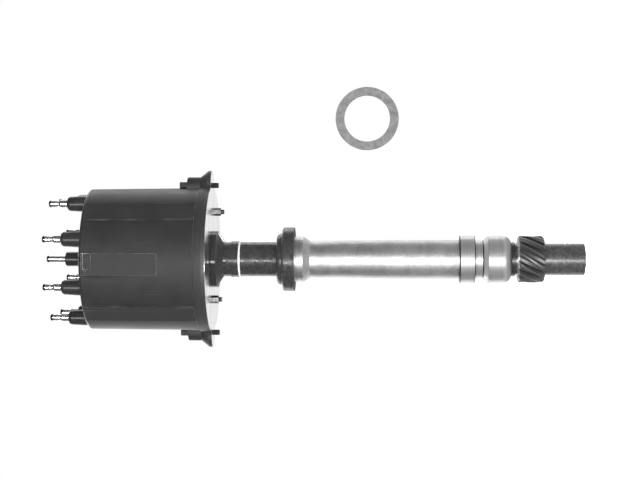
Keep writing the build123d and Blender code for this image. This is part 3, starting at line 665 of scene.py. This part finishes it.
def gasketFinish(look):
    material, tree, shader = startMaterial("gasketPaper", roughness=0.9, specular=0.3)
    place = objectPlace(tree)
    colour = clouded(tree, addNoise(tree, place, look["cloud"]), look["paper"])
    fibres, specks = look["fibres"], look["specks"]
    strands = addMath(tree, "MAXIMUM", *(addLines(tree, lines) for lines in fibres["lines"]))
    light = addRange(tree, strands, fibres["span"], (0, fibres["most"]))
    colour = mixColours(tree, light, colour, fibres["grey"])
    dots = addRange(tree, addNoise(tree, place, specks["noise"]), specks["span"], (0, specks["most"]))
    feed(tree, shader.inputs["Base Color"], mixColours(tree, dots, colour, specks["grey"]))
    addBump(tree, shader, strands, look["relief"])
    return material


# Pickup coil: copper wire in close turns, with painted shade between them
windingLook = {
    "copper": ((0.32, 0.1, 0.05), (0.42, 0.16, 0.08)),
    "cloud": 400,
    "pitch": 0.35,
    "grooveShade": 0.35,      # painted shade between the turns: how dark it is there
    "relief": 0.05,
}


def windingFinish(look):
    material, tree, shader = startMaterial("coilWinding", metallic=0.6, roughness=0.35)
    wave = addMath(tree, "SINE", product(tree, splitPlace(tree)[2], 2 * math.pi / (look["pitch"] * mm)))
    colour = clouded(tree, addNoise(tree, objectPlace(tree), look["cloud"]), look["copper"])
    # painted shade between the turns
    grooveShade = addRange(tree, wave, (-1, 1), (look["grooveShade"], 1))
    feed(tree, shader.inputs["Base Color"], darkened(tree, colour, grooveShade))
    addBump(tree, shader, wave, look["relief"])
    return material


# Oil felt: matted wool
feltLook = {
    "wool": ((0.33, 0.3, 0.22), (0.48, 0.44, 0.35)),
    "sheen": 0.4,
    "clumps": 500,
    "hairs": (1800, 500, 4000),
    "relief": 0.2,
}


def feltFinish(look):
    material, tree, shader = startMaterial("oilFelt", roughness=0.95, specular=0.2)
    shader.inputs["Sheen Weight"].default_value = look["sheen"]
    clumps = addNoise(tree, objectPlace(tree), look["clumps"])
    feed(tree, shader.inputs["Base Color"], clouded(tree, clumps, look["wool"]))
    addBump(tree, shader, total(tree, clumps, addLines(tree, look["hairs"], 4)), look["relief"])
    return material


# Turned metal of the small pieces: fine rings and a little staining
turnedLook = {
    "rings": (20, 20, 2200),
    "stain": {"noise": 350, "dark": ((0.32, 0.45), (0.75, 1))},
    "relief": 0.008,
}


def turnedFinish(name, tones, metallic, rough, specular=0.5, look=turnedLook):
    material, tree, shader = startMaterial(name, metallic, rough[0], specular)
    rings = addLines(tree, look["rings"])
    stain = addNoise(tree, objectPlace(tree), look["stain"]["noise"])
    stained = addRange(tree, stain, *look["stain"]["dark"])
    feed(tree, shader.inputs["Base Color"], darkened(tree, clouded(tree, rings, tones), stained))
    feed(tree, shader.inputs["Roughness"], addRange(tree, stain, noiseSpan, rough))
    addBump(tree, shader, rings, look["relief"])
    return material


def grainedFinish(name, tones, metallic, rough, grain, relief, coarser=8):
    # two close tones in clouds coarser than the grain, which shows in height and gloss
    material, tree, shader = startMaterial(name, metallic, rough[0])
    place = objectPlace(tree)
    feed(tree, shader.inputs["Base Color"], clouded(tree, addNoise(tree, place, grain / coarser), tones))
    fine = addNoise(tree, place, grain)
    feed(tree, shader.inputs["Roughness"], addRange(tree, fine, noiseSpan, rough))
    addBump(tree, shader, fine, relief)
    return material


brass = ((0.6, 0.42, 0.18), (0.72, 0.54, 0.27))
bronze = ((0.4, 0.26, 0.13), (0.54, 0.37, 0.2))
finishes = {
    "cast_housing": castingFinish(castingLook),
    "black_cap": capFinish(capLook),
    "plated_plate": plateFinish(plateLook),
    "terminal_metal": terminalFinish(terminalLook),
    "screw_steel": turnedFinish("blackScrew", (0.018, 0.03), 0.1, (0.55, 0.7), specular=0.25),
    "shaft_steel": turnedFinish("shaftSteel", (0.45, 0.58), 0.95, (0.22, 0.34)),
    "gear_iron": gearFinish(gearLook),
    "washer_steel": turnedFinish("washerSteel", (0.03, 0.06), 0.7, (0.25, 0.35)),
    "bush_bronze": grainedFinish("bushBronze", bronze, 0.8, (0.45, 0.6), 1500, 0.03),
    "felt": feltFinish(feltLook),
    "pole_iron": grainedFinish("poleIron", (0.36, 0.47), 0.9, (0.32, 0.5), 900, 0.012),
    "ferrite": grainedFinish("ferrite", (0.06, 0.1), 0, (0.6, 0.8), 1500, 0.04),
    "winding": windingFinish(windingLook),
    "lead_sheath": grainedFinish("leadSheath", (0.1, 0.14), 0, (0.45, 0.6), 900, 0.02),
    "module_plastic": grainedFinish("modulePlastic", (0.045, 0.065), 0, (0.45, 0.6), 1100, 0.04),
    "rotor_plastic": grainedFinish("rotorPlastic", (0.05, 0.075), 0, (0.32, 0.45), 1100, 0.02),
    "contact_brass": grainedFinish("contactBrass", brass, 0.95, (0.22, 0.36), 700, 0.012),
    "carbon": grainedFinish("carbonButton", (0.03, 0.05), 0.1, (0.5, 0.62), 1500, 0.03),
    "gasket_paper": gasketFinish(gasketLook),
}
brightScrew = turnedFinish("brightScrew", (0.07, 0.12), 0.9, (0.3, 0.45))
brightNodes = ("pickup_screws", "pickup_nuts")    # plated bright, unlike the black screws in the ears


def dress(name, material):
    data = nodes[name].data
    data.materials.clear()
    data.materials.append(material)
    for face in data.polygons:
        face.material_index = 0


for row in frame["record"]["subparts"]:
    dress(row["node"], brightScrew if row["node"] in brightNodes else finishes[row["material_slot"]])
print("finishes made")


# Mesh tools for the wound pieces below
def skinRings(mesh, rings):
    for first, second in zip(rings, rings[1:]):
        for side in range(len(first)):
            after = (side + 1) % len(first)
            mesh.faces.new((first[side], second[side], second[after], first[after]))
    mesh.faces.new(rings[0])
    mesh.faces.new(reversed(rings[-1]))


def placePiece(name, mesh, material, smooth):
    bmesh.ops.recalc_face_normals(mesh, faces=mesh.faces)
    for face in mesh.faces:
        face.smooth = smooth
    data = bpy.data.meshes.new(name)
    mesh.to_mesh(data)
    mesh.free()
    data.materials.append(material)
    piece = bpy.data.objects.new(name, data)
    bpy.context.scene.collection.objects.link(piece)
    return piece


# Rolled threads: a thin ridge wound round each bare screw end
threadLook = {
    "pitch": 0.7,
    "depth": 0.22,
    "halfWidth": 0.26,
    "sunk": 0.05,            # how far the ridge's foot lies inside the screw
    "start": 0.3,            # from the screw's end
    "steps": 20,             # round one turn
    "flatEnd": 0.05,         # points this near to the lowest belong to a screw's end
    "apart": 3,              # and within this many radii they are the same screw's
    "threads": {
        "capScrewThread": {"node": "cap_screws", "body": "cap_body", "radius": 1.8, "length": 3.9},
        "pickupScrewThread": {"node": "pickup_screws", "body": "housing_body", "radius": 1.6, "length": 2.1},
    },
}


def endsOf(node, look, radius):
    # where the node's screws end below: the middle of the lowest points of each
    points = [node.matrix_world @ vertex.co for vertex in node.data.vertices]
    lowest = min(point.z for point in points)
    ends = []
    for point in points:
        if point.z > lowest + look["flatEnd"] * mm:
            continue
        group = next((g for g in ends if (g[0] - point).length < look["apart"] * radius * mm), None)
        if group:
            group.append(point)
        else:
            ends.append([point])
    return [sum(group, Vector()) / len(group) for group in ends]


def makeThread(name, look, thread):
    mesh = bmesh.new()
    steps = look["steps"]
    count = int(thread["length"] / look["pitch"] * steps)
    foot = thread["radius"] - look["sunk"]
    node = nodes[thread["node"]]
    for end in endsOf(node, look, thread["radius"]):
        rings = []
        for step in range(count + 1):
            angle = 2 * math.pi * step / steps
            fade = min(1, step / steps, (count - step) / steps)    # it runs out at both ends
            crest = foot + (look["depth"] + look["sunk"]) * fade
            rise = look["start"] + look["pitch"] * step / steps
            ring = []
            for out, up in ((foot, -look["halfWidth"]), (crest, 0), (foot, look["halfWidth"])):
                place = Vector((out * math.cos(angle), out * math.sin(angle), rise + up)) * mm
                ring.append(mesh.verts.new(end + place))
            rings.append(ring)
        skinRings(mesh, rings)
    piece = placePiece(name, mesh, node.data.materials[0], smooth=False)
    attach(piece, thread["body"])


for name, thread in threadLook["threads"].items():
    makeThread(name, threadLook, thread)
print("threads made")


# The spring over the carbon button: a wound wire
springLook = {
    "wire": 0.45,
    "radius": 1.7,
    "turns": 5,
    "steps": 24,             # round one turn
    "sides": 8,              # round the wire
    "buttonTravel": 1.5,
}


def makeSpring(look):
    low, high = (Vector(corner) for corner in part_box("brush_spring"))
    half = look["wire"] / 2 * mm
    count = look["turns"] * look["steps"]
    mesh = bmesh.new()
    rings = []
    for step in range(count + 1):
        angle = 2 * math.pi * step / look["steps"]
        height = low.z + half + (high.z - low.z - 2 * half) * step / count
        ring = []
        for side in range(look["sides"]):
            tilt = 2 * math.pi * side / look["sides"]
            out = look["radius"] * mm + half * math.cos(tilt)
            up = height + half * math.sin(tilt)
            ring.append(mesh.verts.new((out * math.cos(angle), out * math.sin(angle), up)))
        rings.append(ring)
    skinRings(mesh, rings)
    piece = placePiece("brushSpring", mesh, brightScrew, smooth=True)
    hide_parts("brush_spring")
    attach(piece, "cap_body")
    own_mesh(piece)


makeSpring(springLook)
print("spring made")
